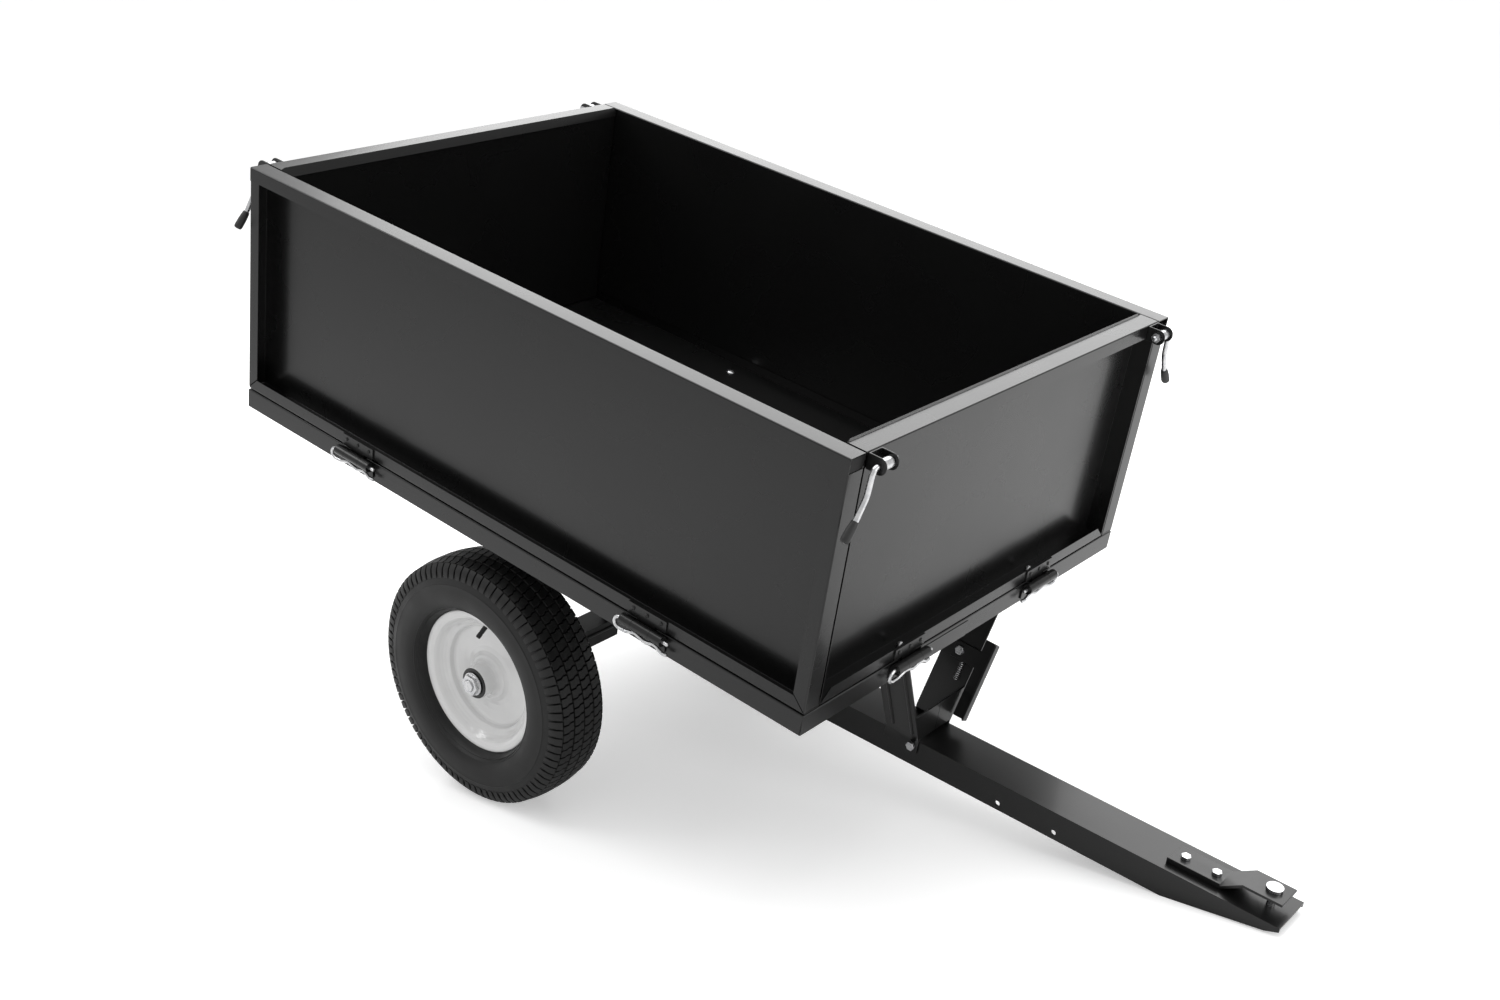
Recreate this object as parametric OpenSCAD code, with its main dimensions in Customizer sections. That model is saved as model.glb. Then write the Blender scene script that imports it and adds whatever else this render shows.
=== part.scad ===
// Tow-behind garden cart: a tipping steel bed with four drop-down panels,
// on two pneumatic wheels and a channel tongue.
// +X points forwards along the tongue, +Y to the cart's left, +Z up.
// The cart stands on its tyres and on the tongue's underside, nose down.

/* [Bed] */
// Length over the bed's outer faces
bed_length = 1180; // [900:5:1500]
// Width over the bed's outer faces
bed_width = 822; // [700:2:1000]
// Height of the four panels
panel_height = 378; // [200:2:480]
// Depth of the panels' flanges, and so the width of the top rim
panel_depth = 32; // [24:1:44]
// Sheet thickness of panels and floor
sheet = 1.6; // [1:0.1:2.4]
// Turned-down lip along the top rim
rim_lip = 22; // [12:1:34]
// Turned-up lip along the bottom flange
foot_lip = 20; // [12:1:30]
// Lip on the upright ends of the side panels
end_lip = 22; // [12:1:34]
// Depth of the floor's turned-down skirt
skirt_depth = 32; // [24:1:50]
// Height of the skirt's lower edge above the axle
bed_rise = 246; // [236:1:320]
// Distance from the axle to the bed's front face
bed_overhang = 607; // [540:1:700]
// Running gap between panels, and between panels and floor
panel_gap = 2; // [1:0.5:4]
// Slope of the bed against the tongue, in degrees
bed_lean = 3; // [0:0.5:6]

/* [Hinges] */
// Distance of each hinge from the middle of its panel, side panels
side_hinge_reach = 310; // [200:5:360]
// Distance of each hinge from the middle of its panel, end panels
end_hinge_reach = 174; // [120:2:230]
// Length over the three knuckles
hinge_length = 78; // [60:1:100]
// Knuckle radius
knuckle_radius = 8; // [6:0.5:8.5]
// Wire radius of the hairpin that pins the hinge
hairpin_radius = 2.75; // [2:0.25:3.5]
// Height of the riveted leaf
leaf_height = 18; // [12:1:19]

/* [Corner latches] */
// Distance from the bed's side to the middle of a latch bracket
latch_inset = 50; // [46:1:70]
// Spacing of the bracket's ears, over their outer faces
latch_span = 28; // [22:1:28]
// Reach of the ears from the panel's face
latch_reach = 30; // [24:1:40]
// Rod radius of the latch
latch_rod = 4; // [3:0.5:5]
// Drop of the handle from its rod to the end of its grip
latch_drop = 92; // [80:2:120]

/* [Wheels] */
// Tyre radius
wheel_radius = 203; // [190:1:215]
// Tyre width
tyre_width = 112; // [90:1:120]
// Distance between the two tyres' middle planes
track = 744; // [700:2:800]
// Radius over the rim's flanges
rim_radius = 118; // [108:1:124]
// Width over the rim's flanges
rim_width = 64; // [56:1:76]
// Axle radius
axle_radius = 9.5; // [8:0.5:11]
// Hub tube's outer radius
hub_radius = 26; // [20:0.5:30]

/* [Tongue] */
// Width of the channel
tongue_width = 80; // [64:1:100]
// Depth of the channel
tongue_depth = 45; // [38:1:60]
// Wall of the channel
tongue_wall = 3; // [2:0.5:5]
// Distance from the axle to the tongue's tip
tongue_reach = 1180; // [1050:5:1300]
// Height of the channel's top above the axle
tongue_top = 18.6; // [14:0.2:24]
// Length of the tapered tip
taper_length = 172; // [100:2:220]
// Radius of the two empty cross holes
cross_hole_radius = 4.25; // [3:0.25:6]
// Distance from the tongue's tip to the nearer cross hole
cross_hole_back = 348; // [300:2:420]
// Spacing of the two cross holes
cross_hole_pitch = 97; // [60:1:110]

/* [Stand and release] */
// Width of a strut along the tongue
strut_width = 62; // [54:1:90]
// Lean of the struts from upright, in degrees
strut_lean = 25; // [15:1:32]
// Plate thickness of struts, saddle and cradle
plate = 3; // [2:0.5:4]
// Distance from the bed's front face to the struts' front edge
strut_inset = 21; // [15:1:40]
// Length of the release lever
lever_length = 128; // [110:2:150]

/* [Hitch] */
// Width of the hitch plate
hitch_width = 48; // [36:1:60]
// Thickness of the hitch plate
hitch_plate_thickness = 4; // [3:0.5:6]
// Gap for the drawbar between the tongue and the hitch plate
hitch_gap = 21; // [14:1:30]
// Radius of the hitch pin
hitch_pin_radius = 6; // [5:0.5:8]

/* [Hidden] */
$fn = 48;
run_gap = 0.05;
lay_gap = 0.3;
bolt_radius = 4;
half_w = bed_width / 2;
bolt_x = 162;
bolt_y = half_w - 68;
x_front = bed_overhang;
x_rear = bed_overhang - bed_length;
x_mid = (x_front + x_rear) / 2;
floor_top = bed_rise + skirt_depth;
panel_foot = floor_top + panel_gap;
rim_top = panel_foot + panel_height;
end_panel_width = bed_width - 2 * (panel_depth + panel_gap);
hinge_out = knuckle_radius + 1.5;
hinge_z = floor_top - 6;
leaf = 2.5;
// The tongue rests on the ground at one end of its tapered underside.
tip_depth = 15;
taper_x = tongue_reach - taper_length;
tongue_pitch = min(rest_angle(taper_x, tongue_top - tongue_depth),
                   rest_angle(tongue_reach - 20, tongue_top - tip_depth));
bed_pitch = tongue_pitch + bed_lean;
function rest_angle(x, z) = asin(wheel_radius / norm([x, z])) + atan2(z, x);
// The origin lies on the ground under the middle of the overall length.
x_backmost = (x_rear - hinge_out) * cos(bed_pitch)
           + hinge_z * sin(bed_pitch) - knuckle_radius;
x_foremost = tongue_reach * cos(tongue_pitch) + tongue_top * sin(tongue_pitch);
x_shift = -(x_backmost + x_foremost) / 2;
// Strut frame: s runs up the leaning plate from the fold above the tongue.
strut_x = x_front - strut_inset;
fold_z = tongue_top + (strut_x - strut_width / 2) * sin(bed_lean) + 4;
saddle_z = bed_rise + 5 - lay_gap;
strut_rise = (saddle_z - plate - fold_z) / cos(strut_lean);
foot_depth = 22;
stand_bolt_z = tongue_top - 9;
latch_y = half_w - latch_inset;
latch_x = x_front + latch_reach - 12;
latch_z = rim_top - 13;
// The handle bends down outside the ear, then bows outwards to its grip.
grip_length = 32;
grip_tilt = 36;
bow_drop = latch_drop - 8 - grip_length * cos(grip_tilt);
handle_knee = [0, latch_span / 2 + 11, -8];
handle_neck = handle_knee + [0, 17, -bow_drop];
hub_in = 44;
hub_out = 40;
wheel_y = track / 2;
ear_y = 96;
pin_x = tongue_reach - 32;

// Placing: the chassis and the bed turn about the axle to their resting slopes.
module on_axle(pitch)
    translate([x_shift, 0, wheel_radius]) rotate([0, pitch, 0]) children();
module chassis() on_axle(tongue_pitch) children();
module bed() on_axle(bed_pitch) children();

// A box given by its low and high corners.
module span(low, high) translate(low) cube(high - low);

// Turns +Z to the direction d.
module aim(d) rotate([0, acos(d.z / norm(d)), atan2(d.y, d.x)]) children();

// A round bar from a to b.
module bar(a, b, r) translate(a) aim(b - a) cylinder(r = r, h = norm(b - a));

// A bent wire through the points, with a slight swell at each bend.
module wire(points, r) {
    for (i = [0 : len(points) - 2]) bar(points[i], points[i + 1], r);
    for (i = [1 : len(points) - 2])
        translate(points[i]) aim(points[i + 1] - points[i]) sphere(r = 1.06 * r);
}

// A hexagon head or nut on +Z.
module hex(across, h) cylinder(r = across / 2 / cos(30), h = h, $fn = 6);

module left_and_right() {
    children();
    mirror([0, 1, 0]) children();
}

// ---- Chassis ----

module tongue_side() {
    polygon([[-60, tongue_top], [tongue_reach, tongue_top],
        [tongue_reach, tongue_top - 7], [tongue_reach - 20, tongue_top - tip_depth],
        [taper_x, tongue_top - tongue_depth], [-60, tongue_top - tongue_depth]]);
}

module across(x, z, r)
    translate([x, -tongue_width, z]) rotate([-90, 0, 0])
        cylinder(r = r, h = 2 * tongue_width);

module tongue() color("dimgray") chassis() difference() {
    translate([0, tongue_width / 2, 0]) rotate([90, 0, 0])
        linear_extrude(tongue_width) tongue_side();
    span([-61, -tongue_width / 2 + tongue_wall, tongue_top - tongue_depth - 1],
         [tongue_reach + 1, tongue_width / 2 - tongue_wall, tongue_top - tongue_wall]);
    across(0, 0, axle_radius + run_gap);
    for (i = [0, 1])
        across(tongue_reach - cross_hole_back - i * cross_hole_pitch,
            tongue_top - tongue_depth + 11, cross_hole_radius);
    for (x = stand_bolt_x()) across(x, stand_bolt_z, bolt_radius + run_gap);
    translate([pin_x, 0, 0]) cylinder(r = hitch_pin_radius + run_gap, h = 40);
    for (x = hitch_bolt_x()) translate([x, 0, 0])
        cylinder(r = bolt_radius + run_gap, h = 40);
}

function stand_bolt_x() = [strut_x - 9];
function hitch_bolt_x() = [pin_x - 130, pin_x - 82];

// One stand strut, on the cart's left: a foot on the tongue's side and a plate
// that leans outwards to the saddle, with two pressed ribs.
module strut_frame()
    translate([strut_x, tongue_width / 2, fold_z])
        rotate([-strut_lean, 0, 0]) children();

module strut_side() {
    s = sin(strut_lean);
    c = cos(strut_lean);
    polygon([[0, -foot_depth], [0, 0], strut_rise * [s, c],
        strut_rise * [s, c] + plate * [c, -s],
        [plate, -plate * tan(strut_lean / 2)], [plate, -foot_depth]]);
}

module strut() bed() difference() {
    union() {
        translate([strut_x - strut_width, tongue_width / 2, fold_z])
            rotate([90, 0, 90]) linear_extrude(strut_width) strut_side();
        // Half of the wall that joins the two struts across the tongue
        translate([strut_x - plate, 0, fold_z]) rotate([90, 0, 90])
            linear_extrude(plate) polygon([[lay_gap / 2, 3],
                [tongue_width / 2 + 3 * tan(strut_lean) + plate / 2, 3],
                [tongue_width / 2 + 54 * tan(strut_lean) + plate / 2, 54],
                [lay_gap / 2, 54]]);
        strut_frame() for (x = [-0.74 * strut_width, -10])
            translate([x, plate, 16]) cylinder(r = plate - 0.4, h = strut_rise - 32);
    }
    rotate([0, -bed_lean, 0])
        for (x = stand_bolt_x()) across(x, stand_bolt_z, bolt_radius + run_gap);
}

module strut_left() color("dimgray") difference() {
    strut();
    bed() strut_frame() lever_bore();
}
module strut_right() color("dimgray") mirror([0, 1, 0]) strut();

module saddle() color("slategray") bed() {
    half = tongue_width / 2 + strut_rise * sin(strut_lean) + 22;
    span([strut_x - strut_width, -half, saddle_z - plate], [strut_x, half, saddle_z]);
}

module stand_bolts() color("silver") chassis() for (x = stand_bolt_x()) {
    reach = tongue_width / 2 + plate + lay_gap;
    bar([x, -reach, stand_bolt_z], [x, reach, stand_bolt_z], bolt_radius);
    for (side = [-1, 1]) translate([x, side * reach, stand_bolt_z])
        rotate([-90 * side, 0, 0]) hex(13, 6);
}

module axle() color("gray") chassis() {
    reach = wheel_y + hub_out + 12;
    bar([0, -reach, 0], [0, reach, 0], axle_radius);
}

// Inverted channels over the axle, from the tongue out to the wheels.
module axle_beam() {
    y0 = tongue_width / 2 + lay_gap;
    y1 = ear_y - 12;
    y2 = ear_y + 12;
    y3 = wheel_y - hub_in - 6;
    for (y = [[y0, y1], [y2, y3]]) difference() {
        union() {
            span([-22, y[0], -20], [22, y[1], 14]);
            for (x = [-22, 22]) bar([x, y[0], 2], [x, y[1], 2], 3);
        }
        span([-19, y[0] - 1, -21], [19, y[1] + 1, 11]);
    }
    for (y = [y0, y1 - plate, y2, y3 - plate]) difference() {
        span([-19, y, -20], [19, y + plate, 11]);
        across(0, 0, axle_radius + run_gap);
        translate([0, y - 1, 0]) rotate([-90, 0, 0])
            cylinder(r = axle_radius + run_gap, h = plate + 2);
    }
}
module axle_beams() color("dimgray") chassis() left_and_right() axle_beam();

// Washer, nut and inner collar at each end of the axle.
module axle_nuts() color("silver") chassis() left_and_right() {
    y0 = wheel_y + hub_out + lay_gap;
    difference() {
        translate([0, y0, 0]) rotate([-90, 0, 0]) union() {
            cylinder(r = hub_radius - 7, h = 2);
            hex(30, 9);
        }
        across_end(y0 - 1, 12);
    }
    y1 = wheel_y - hub_in - lay_gap - 5;
    difference() {
        translate([0, y1, 0]) rotate([-90, 0, 0]) cylinder(r = hub_radius - 5, h = 5);
        across_end(y1 - 1, 7);
    }
}
module across_end(y, h) translate([0, y, 0]) rotate([-90, 0, 0])
    cylinder(r = axle_radius + run_gap, h = h);

// ---- Hitch ----

module hitch_side() {
    t = hitch_plate_thickness;
    z0 = tongue_top;
    x0 = pin_x - 148;
    x1 = pin_x - 67;
    x2 = pin_x - 34;
    x3 = pin_x + 23;
    polygon([[x0, z0], [x1, z0], [x2, z0 + hitch_gap], [x3, z0 + hitch_gap],
        [x3, z0 + hitch_gap + t], [x2 - 2, z0 + hitch_gap + t],
        [x1 - 2, z0 + t], [x0, z0 + t]]);
}

module hitch_plate() color("dimgray") chassis() difference() {
    union() {
        translate([0, hitch_width / 2, 0]) rotate([90, 0, 0])
            linear_extrude(hitch_width) hitch_side();
        span([pin_x - 148, -hitch_width / 2, tongue_top],
             [pin_x - 67, -hitch_width / 2 + 3, tongue_top + 9]);
    }
    translate([pin_x, 0, 0]) cylinder(r = hitch_pin_radius + run_gap, h = 80);
    for (x = hitch_bolt_x()) translate([x, 0, 0])
        cylinder(r = bolt_radius + run_gap, h = 80);
}

module hitch_bolts() color("silver") chassis() for (x = hitch_bolt_x()) {
    top = tongue_top + hitch_plate_thickness + lay_gap;
    low = tongue_top - tongue_wall - lay_gap;
    bar([x, 0, low - 9], [x, 0, top], bolt_radius);
    translate([x, 0, top]) hex(13, 5);
    translate([x, 0, low - 6]) hex(13, 6);
}

module hitch_pin() color("silver") chassis() difference() {
    top = tongue_top + hitch_gap + hitch_plate_thickness + lay_gap;
    union() {
        bar([pin_x, 0, tongue_top - 18], [pin_x, 0, top], hitch_pin_radius);
        translate([pin_x, 0, top]) cylinder(r = 12, h = 5);
    }
    bar([pin_x, -20, tongue_top - 13], [pin_x, 20, tongue_top - 13], 1.55);
}

module hitch_clip() color("silver") chassis() {
    z = tongue_top - 13;
    bar([pin_x, -11, z], [pin_x, 12, z], 1.5);
    translate([pin_x, 12, z]) sphere(r = 1.5);
    bar([pin_x, 12, z], [pin_x + 9, 2, z], 1.5);
}

// ---- Release lever, on the left strut ----

lever_pivot = [-30, 108];
module lever_bore() translate([lever_pivot.x, -10, lever_pivot.y])
    rotate([-90, 0, 0]) cylinder(r = bolt_radius + run_gap, h = 20);

module lever_bolt() color("silver") bed() strut_frame()
    translate([lever_pivot.x, 0, lever_pivot.y]) {
        bar([0, -plate - 2 * lay_gap, 0], [0, plate + lay_gap, 0], bolt_radius);
        translate([0, -plate - 2 * lay_gap, 0]) rotate([90, 0, 0]) hex(13, 5);
        translate([0, plate + lay_gap, 0]) rotate([-90, 0, 0]) hex(13, 6);
    }

// A strip in front of the strut with a turned edge, and an ear on the bolt.
module release_lever() color("dimgray") bed() strut_frame() difference() {
    union() {
        span([2, -plate - lay_gap, 14], [26, -lay_gap, 14 + lever_length]);
        span([23, -14, 14], [26, -lay_gap, 14 + lever_length]);
        span([lever_pivot.x - 13, -plate - lay_gap, lever_pivot.y - 14],
             [3, -lay_gap, lever_pivot.y + 14]);
    }
    lever_bore();
}

module lever_spring() color("silver") bed() strut_frame()
    translate([-18, -4 - lay_gap, 64]) {
        length = lever_pivot.y - 14 - lay_gap - 64;
        difference() {
            cylinder(r = 4, h = length);
            translate([0, 0, 1.5]) cylinder(r = 2.5, h = length - 3);
        }
    }

// ---- Bed ----

module bed_floor() color("gray") bed() {
    difference() {
        span([x_rear, -half_w, bed_rise], [x_front, half_w, floor_top]);
        span([x_rear + sheet, -half_w + sheet, bed_rise - 1],
             [x_front - sheet, half_w - sheet, floor_top - sheet]);
        floor_bolt_holes();
    }
    // Doubler on the front skirt
    span([x_front - sheet, -134, bed_rise], [x_front + 1, -16, floor_top - 6]);
}

// Hat channels across the floor's underside.
module floor_channel(x, depth, half) difference() {
    z1 = floor_top - sheet;
    span([x - 25, -half, z1 - depth], [x + 25, half, z1]);
    span([x - 23, -half - 1, z1 - depth - 1], [x + 23, half + 1, z1 - 2]);
}
module floor_channels() color("slategray") bed() {
    difference() {
        span([strut_x - strut_width - 4, -half_w + 12, bed_rise + 5],
             [x_front - 8, half_w - 12, floor_top - sheet]);
        span([strut_x - strut_width - 2, -half_w + 11, bed_rise + 7],
             [x_front - 10, half_w - 11, floor_top - sheet - 2]);
    }
    floor_channel(x_rear + 40, 20, half_w - 12);
    difference() {
        for (x = [-bolt_x, bolt_x]) floor_channel(x, 20, half_w - 12);
        floor_bolt_holes();
    }
}
module floor_bolt_holes()
    for (x = [-bolt_x, bolt_x], y = [-bolt_y, bolt_y]) translate([x, y, floor_top - 12])
        cylinder(r = 3 + run_gap, h = 20);

// Cross channel over the axle with two ears that turn on it.
module cradle_ear() difference() {
    top = floor_top - sheet - 2;
    rotate([90, 0, 0]) linear_extrude(5) {
        polygon([[-62, top], [-19.5, -7], [19.5, -7], [62, top]]);
        circle(r = 21);
    }
    translate([0, -6, 0]) rotate([-90, 0, 0])
        cylinder(r = axle_radius + run_gap, h = 7);
}
module cradle() color("dimgray") bed() {
    z1 = floor_top - sheet;
    difference() {
        span([-70, -half_w + 40, z1 - 20], [70, half_w - 40, z1]);
        span([-67, -half_w + 39, z1 - 21], [67, half_w - 39, z1 - 3]);
    }
    left_and_right() translate([0, ear_y + 2.5, 0]) cradle_ear();
}

// Wire loop under the floor's front edge that the lever holds.
module striker() color("silver") bed() {
    x = strut_x + 6;
    y = tongue_width / 2 + strut_rise * sin(strut_lean) + 22;
    top = bed_rise + 5;
    low = top - 13;
    wire([[x, y - 10, top], [x, y - 10, low + 5], [x, y - 5, low],
        [x, y + 5, low], [x, y + 10, low + 5], [x, y + 10, top]], 2.5);
}

module floor_bolts() color("silver") bed()
    for (x = [-bolt_x, bolt_x], y = [-bolt_y, bolt_y]) {
        bar([x, y, floor_top - 12], [x, y, floor_top + lay_gap], 3);
        translate([x, y, floor_top + lay_gap]) cylinder(r = 8, h = 2.5);
    }

// ---- Hinges: u runs along the hinge, v outwards, w up from the hinge line ----

knuckle_end = 22;
module knuckle(u0, u1) difference() {
    bar([u0, 0, 0], [u1, 0, 0], knuckle_radius);
    bar([u0 - 1, 0, 0], [u1 + 1, 0, 0], hairpin_radius + run_gap);
}

module hinge_seat() for (side = [-1, 1]) {
    u0 = side * (hinge_length / 2 - knuckle_end / 2) - knuckle_end / 2;
    difference() {
        union() {
            bar([u0, 0, 0], [u0 + knuckle_end, 0, 0], knuckle_radius);
            span([u0, -hinge_out, -20], [u0 + knuckle_end, -hinge_out + leaf, 0]);
        }
        bar([u0 - 1, 0, 0], [u0 + knuckle_end + 1, 0, 0], hairpin_radius + run_gap);
    }
}

module hinge_leaf() {
    mid = hinge_length / 2 - knuckle_end - lay_gap;
    base = panel_foot - hinge_z + 1.5;
    difference() {
        union() {
            bar([-mid, 0, 0], [mid, 0, 0], knuckle_radius);
            span([-mid, -hinge_out, 0], [mid, -hinge_out + leaf, base + 4]);
            span([-hinge_length / 2 + 3, -hinge_out, base],
                 [hinge_length / 2 - 3, -hinge_out + leaf, base + leaf_height]);
            for (u = [-26, 0, 26]) bar([u, -hinge_out + leaf, base + 11],
                [u, -hinge_out + leaf + 1.5, base + 11], 3);
        }
        bar([-mid - 1, 0, 0], [mid + 1, 0, 0], hairpin_radius + run_gap);
    }
}

// Hairpin: a straight leg in the knuckles, a bend, and a wavy leg below them.
module hairpin() {
    u0 = -hinge_length / 2 - 4;
    u1 = hinge_length / 2 + 9;
    touch = -(knuckle_radius + 1.06 * hairpin_radius + lay_gap);
    wire([[u1, 0, 0], [u0, 0, 0], [u0 - 6.5, 0, -2.6], [u0 - 9, 0, -9],
        [u0 - 6.5, 0, -15.4], [u0, 0, -18], [u0 + 14, 0, -17], [-12, 0, touch],
        [8, 0, touch - 5], [26, 0, touch], [u1 - 8, 0, touch - 7], [u1, 0, touch - 6]],
        hairpin_radius);
}

module side_hinges() for (x = [-side_hinge_reach, side_hinge_reach])
    side_hinge(x) children();
module side_hinge(x) translate([x_mid + x, half_w + hinge_out, hinge_z]) children();
module front_hinge(y) translate([x_front + hinge_out, y, hinge_z])
    rotate([0, 0, -90]) mirror([1, 0, 0]) children();
module front_hinges() for (y = [-end_hinge_reach, end_hinge_reach])
    front_hinge(y) children();
// The rear of the bed is the front's mirror image about the bed's middle.
module rearward() translate([2 * x_mid, 0, 0]) mirror([1, 0, 0]) children();

module hinge_seats() color("slategray") bed() {
    left_and_right() side_hinges() hinge_seat();
    front_hinges() hinge_seat();
    rearward() front_hinges() hinge_seat();
}
module left_leaves() color("slategray") bed() side_hinges() hinge_leaf();
module right_leaves() color("slategray") bed() mirror([0, 1, 0])
    side_hinges() hinge_leaf();
module front_leaves() color("slategray") bed() front_hinges() hinge_leaf();
module rear_leaves() color("slategray") bed() rearward() front_hinges() hinge_leaf();

module hairpin_left_front() color("silver") bed() side_hinge(side_hinge_reach) hairpin();
module hairpin_left_rear() color("silver") bed() side_hinge(-side_hinge_reach) hairpin();
module hairpin_right_front() color("silver") bed() mirror([0, 1, 0])
    side_hinge(side_hinge_reach) hairpin();
module hairpin_right_rear() color("silver") bed() mirror([0, 1, 0])
    side_hinge(-side_hinge_reach) hairpin();
module hairpin_front_left() color("silver") bed() mirror([0, 1, 0])
    front_hinge(-end_hinge_reach) hairpin();
module hairpin_front_right() color("silver") bed() front_hinge(-end_hinge_reach) hairpin();
module hairpin_rear_left() color("silver") bed() rearward() mirror([0, 1, 0])
    front_hinge(-end_hinge_reach) hairpin();
module hairpin_rear_right() color("silver") bed() rearward()
    front_hinge(-end_hinge_reach) hairpin();

// ---- Panels: a pan that opens outwards ----

module pan(width, side_lip) difference() {
    span([-width / 2, -panel_depth, 0], [width / 2, 0, panel_height]);
    span([-width / 2 + sheet, -panel_depth + sheet, sheet],
         [width / 2 - sheet, -sheet, panel_height - sheet]);
    span([-width / 2 + side_lip, -sheet - 1, foot_lip],
         [width / 2 - side_lip, 1, panel_height - rim_lip]);
}

module side_panel() bed() translate([x_mid, half_w, panel_foot]) difference() {
    pan(bed_length, end_lip);
    // Both ends are open under the rim.
    span([-bed_length / 2 - 1, -panel_depth + 4, panel_height - rim_lip],
         [bed_length / 2 + 1, -sheet - 1, panel_height - sheet - 1]);
}
module left_panel() color("darkgray") side_panel();
module right_panel() color("darkgray") mirror([0, 1, 0]) side_panel();

module end_panel() bed() translate([x_front, 0, panel_foot]) rotate([0, 0, -90])
    pan(end_panel_width, sheet);
module front_panel() color("darkgray") end_panel();
module rear_panel() color("darkgray") bed() rearward()
    translate([x_front, 0, panel_foot]) rotate([0, 0, -90])
        pan(end_panel_width, sheet);

// ---- Corner latches, drawn at the front left corner ----

latch_ear = 2.5;
module latch_bracket() translate([x_front, latch_y, 0]) difference() {
    union() {
        span([0, -latch_span / 2, rim_top - rim_lip + 1],
             [latch_ear, latch_span / 2, rim_top - 1]);
        for (y = [-latch_span / 2, latch_span / 2 - latch_ear]) {
            span([0, y, latch_z - 11], [latch_x - x_front, y + latch_ear, latch_z + 12]);
            translate([latch_x - x_front, y, latch_z]) rotate([-90, 0, 0])
                cylinder(r = 12, h = latch_ear);
        }
    }
    translate([latch_x - x_front, -latch_span, latch_z]) rotate([-90, 0, 0])
        cylinder(r = latch_rod + run_gap, h = 2 * latch_span);
}

// The rod turns in the ears, with a roller between them and a nut inside; it
// bends down outside the outer ear.
module latch() translate([latch_x, latch_y, latch_z]) {
    y_in = -latch_span / 2 - lay_gap;
    y_out = latch_span / 2 + 3;
    bar([0, y_in - 9, 0], [0, y_out, 0], latch_rod);
    bar([0, -latch_span / 2 + latch_ear + lay_gap, 0],
        [0, latch_span / 2 - latch_ear - lay_gap, 0], 8);
    translate([0, y_in, 0]) rotate([90, 0, 0]) hex(13, 6);
    wire([[0, y_out, 0], [0, y_out + 5.6, -2.4], handle_knee,
        handle_knee + [0, 3, -bow_drop * 0.52], handle_neck,
        handle_neck + (grip_length - 2) * [0, sin(grip_tilt), -cos(grip_tilt)]],
        latch_rod);
    translate([0, y_out, 0]) sphere(r = 1.06 * latch_rod);
}

// A rubber grip over the handle's last, straight run.
module grip() translate([latch_x, latch_y, latch_z]) translate(handle_neck)
    rotate([180 + grip_tilt, 0, 0]) translate([0, 0, 3]) difference() {
        cylinder(r = 7.5, h = grip_length);
        translate([0, 0, -1]) cylinder(r = latch_rod + run_gap / 2, h = grip_length - 4);
    }

module front_brackets() color("dimgray") bed() left_and_right() latch_bracket();
module rear_brackets() color("dimgray") bed() rearward() left_and_right() latch_bracket();
module latch_front_left() color("silver") bed() latch();
module latch_front_right() color("silver") bed() mirror([0, 1, 0]) latch();
module latch_rear_left() color("silver") bed() rearward() latch();
module latch_rear_right() color("silver") bed() rearward() mirror([0, 1, 0]) latch();
module grip_front_left() color("black") bed() grip();
module grip_front_right() color("black") bed() mirror([0, 1, 0]) grip();
module grip_rear_left() color("black") bed() rearward() grip();
module grip_rear_right() color("black") bed() rearward() mirror([0, 1, 0]) grip();

// ---- Wheels: y runs outwards along the axle from the tyre's middle plane ----

bead_radius = rim_radius - 13;
well_radius = rim_radius - 30;
rim_wall = 3;

module turned() rotate([-90, 0, 0]) rotate_extrude($fn = 96) children();

// A closed outline from its outward half, mirrored about the middle plane.
function both(half) = concat(half,
    [for (i = [len(half) - 1 : -1 : 0]) [half[i].x, -half[i].y]]);

// The rim's barrel: a well, two bead seats and two flanges.
module barrel() {
    b = rim_width / 2;
    outside = both([[rim_radius, b], [rim_radius, b - 4], [bead_radius, b - 4],
        [bead_radius, 16], [well_radius, 9]]);
    inside = both([[bead_radius - rim_wall, b], [bead_radius - rim_wall, 19],
        [well_radius - rim_wall, 12]]);
    polygon(concat(outside, [for (p = inside) [p.x, -p.y]]));
}

module rim() difference() {
    union() {
        turned() barrel();
        turned() polygon([[well_radius - 1, 6], [well_radius - 8, 1],
            [hub_radius + 12, 4], [hub_radius, 10], [hub_radius - 1, 10],
            [hub_radius - 1, 6], [hub_radius + 10, 1], [well_radius - 8, -2],
            [well_radius - 1, 2]]);
        turned() translate([hub_radius - 3, -hub_in + 3])
            square([3, hub_in + hub_out - 6]);
    }
    valve_place() bar([0, 0, -20], [0, 0, 20], 4 + run_gap);
}

module tyre_outline() {
    h = tyre_width / 2;
    r = wheel_radius;
    b = rim_width / 2 - 4;
    polygon(both([[bead_radius, b], [rim_radius + 1, b],
        [rim_radius + 3, b + 5], [rim_radius + 12, h - 7], [rim_radius + 26, h - 1.5],
        [rim_radius + 40, h], [r - 24, h - 3], [r - 10, h - 8], [r - 4, h - 16],
        [r - 1, h - 32], [r, h - 46]]));
}
module tyre_cavity() {
    h = tyre_width / 2 - 10;
    polygon(both([[bead_radius + 8, rim_width / 2 - 14],
        [rim_radius + 16, h - 8], [rim_radius + 34, h], [wheel_radius - 24, h - 6],
        [wheel_radius - 14, h - 24]]));
}
module tyre() turned() difference() {
    tyre_outline();
    tyre_cavity();
}

module bearing(y, h) translate([0, y, 0]) rotate([-90, 0, 0]) difference() {
    cylinder(r = hub_radius - 3, h = h);
    translate([0, 0, -1]) cylinder(r = axle_radius + run_gap, h = h + 2);
}
module bearings() {
    bearing(-hub_in, 14);
    bearing(hub_out - 14, 14);
}

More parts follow.
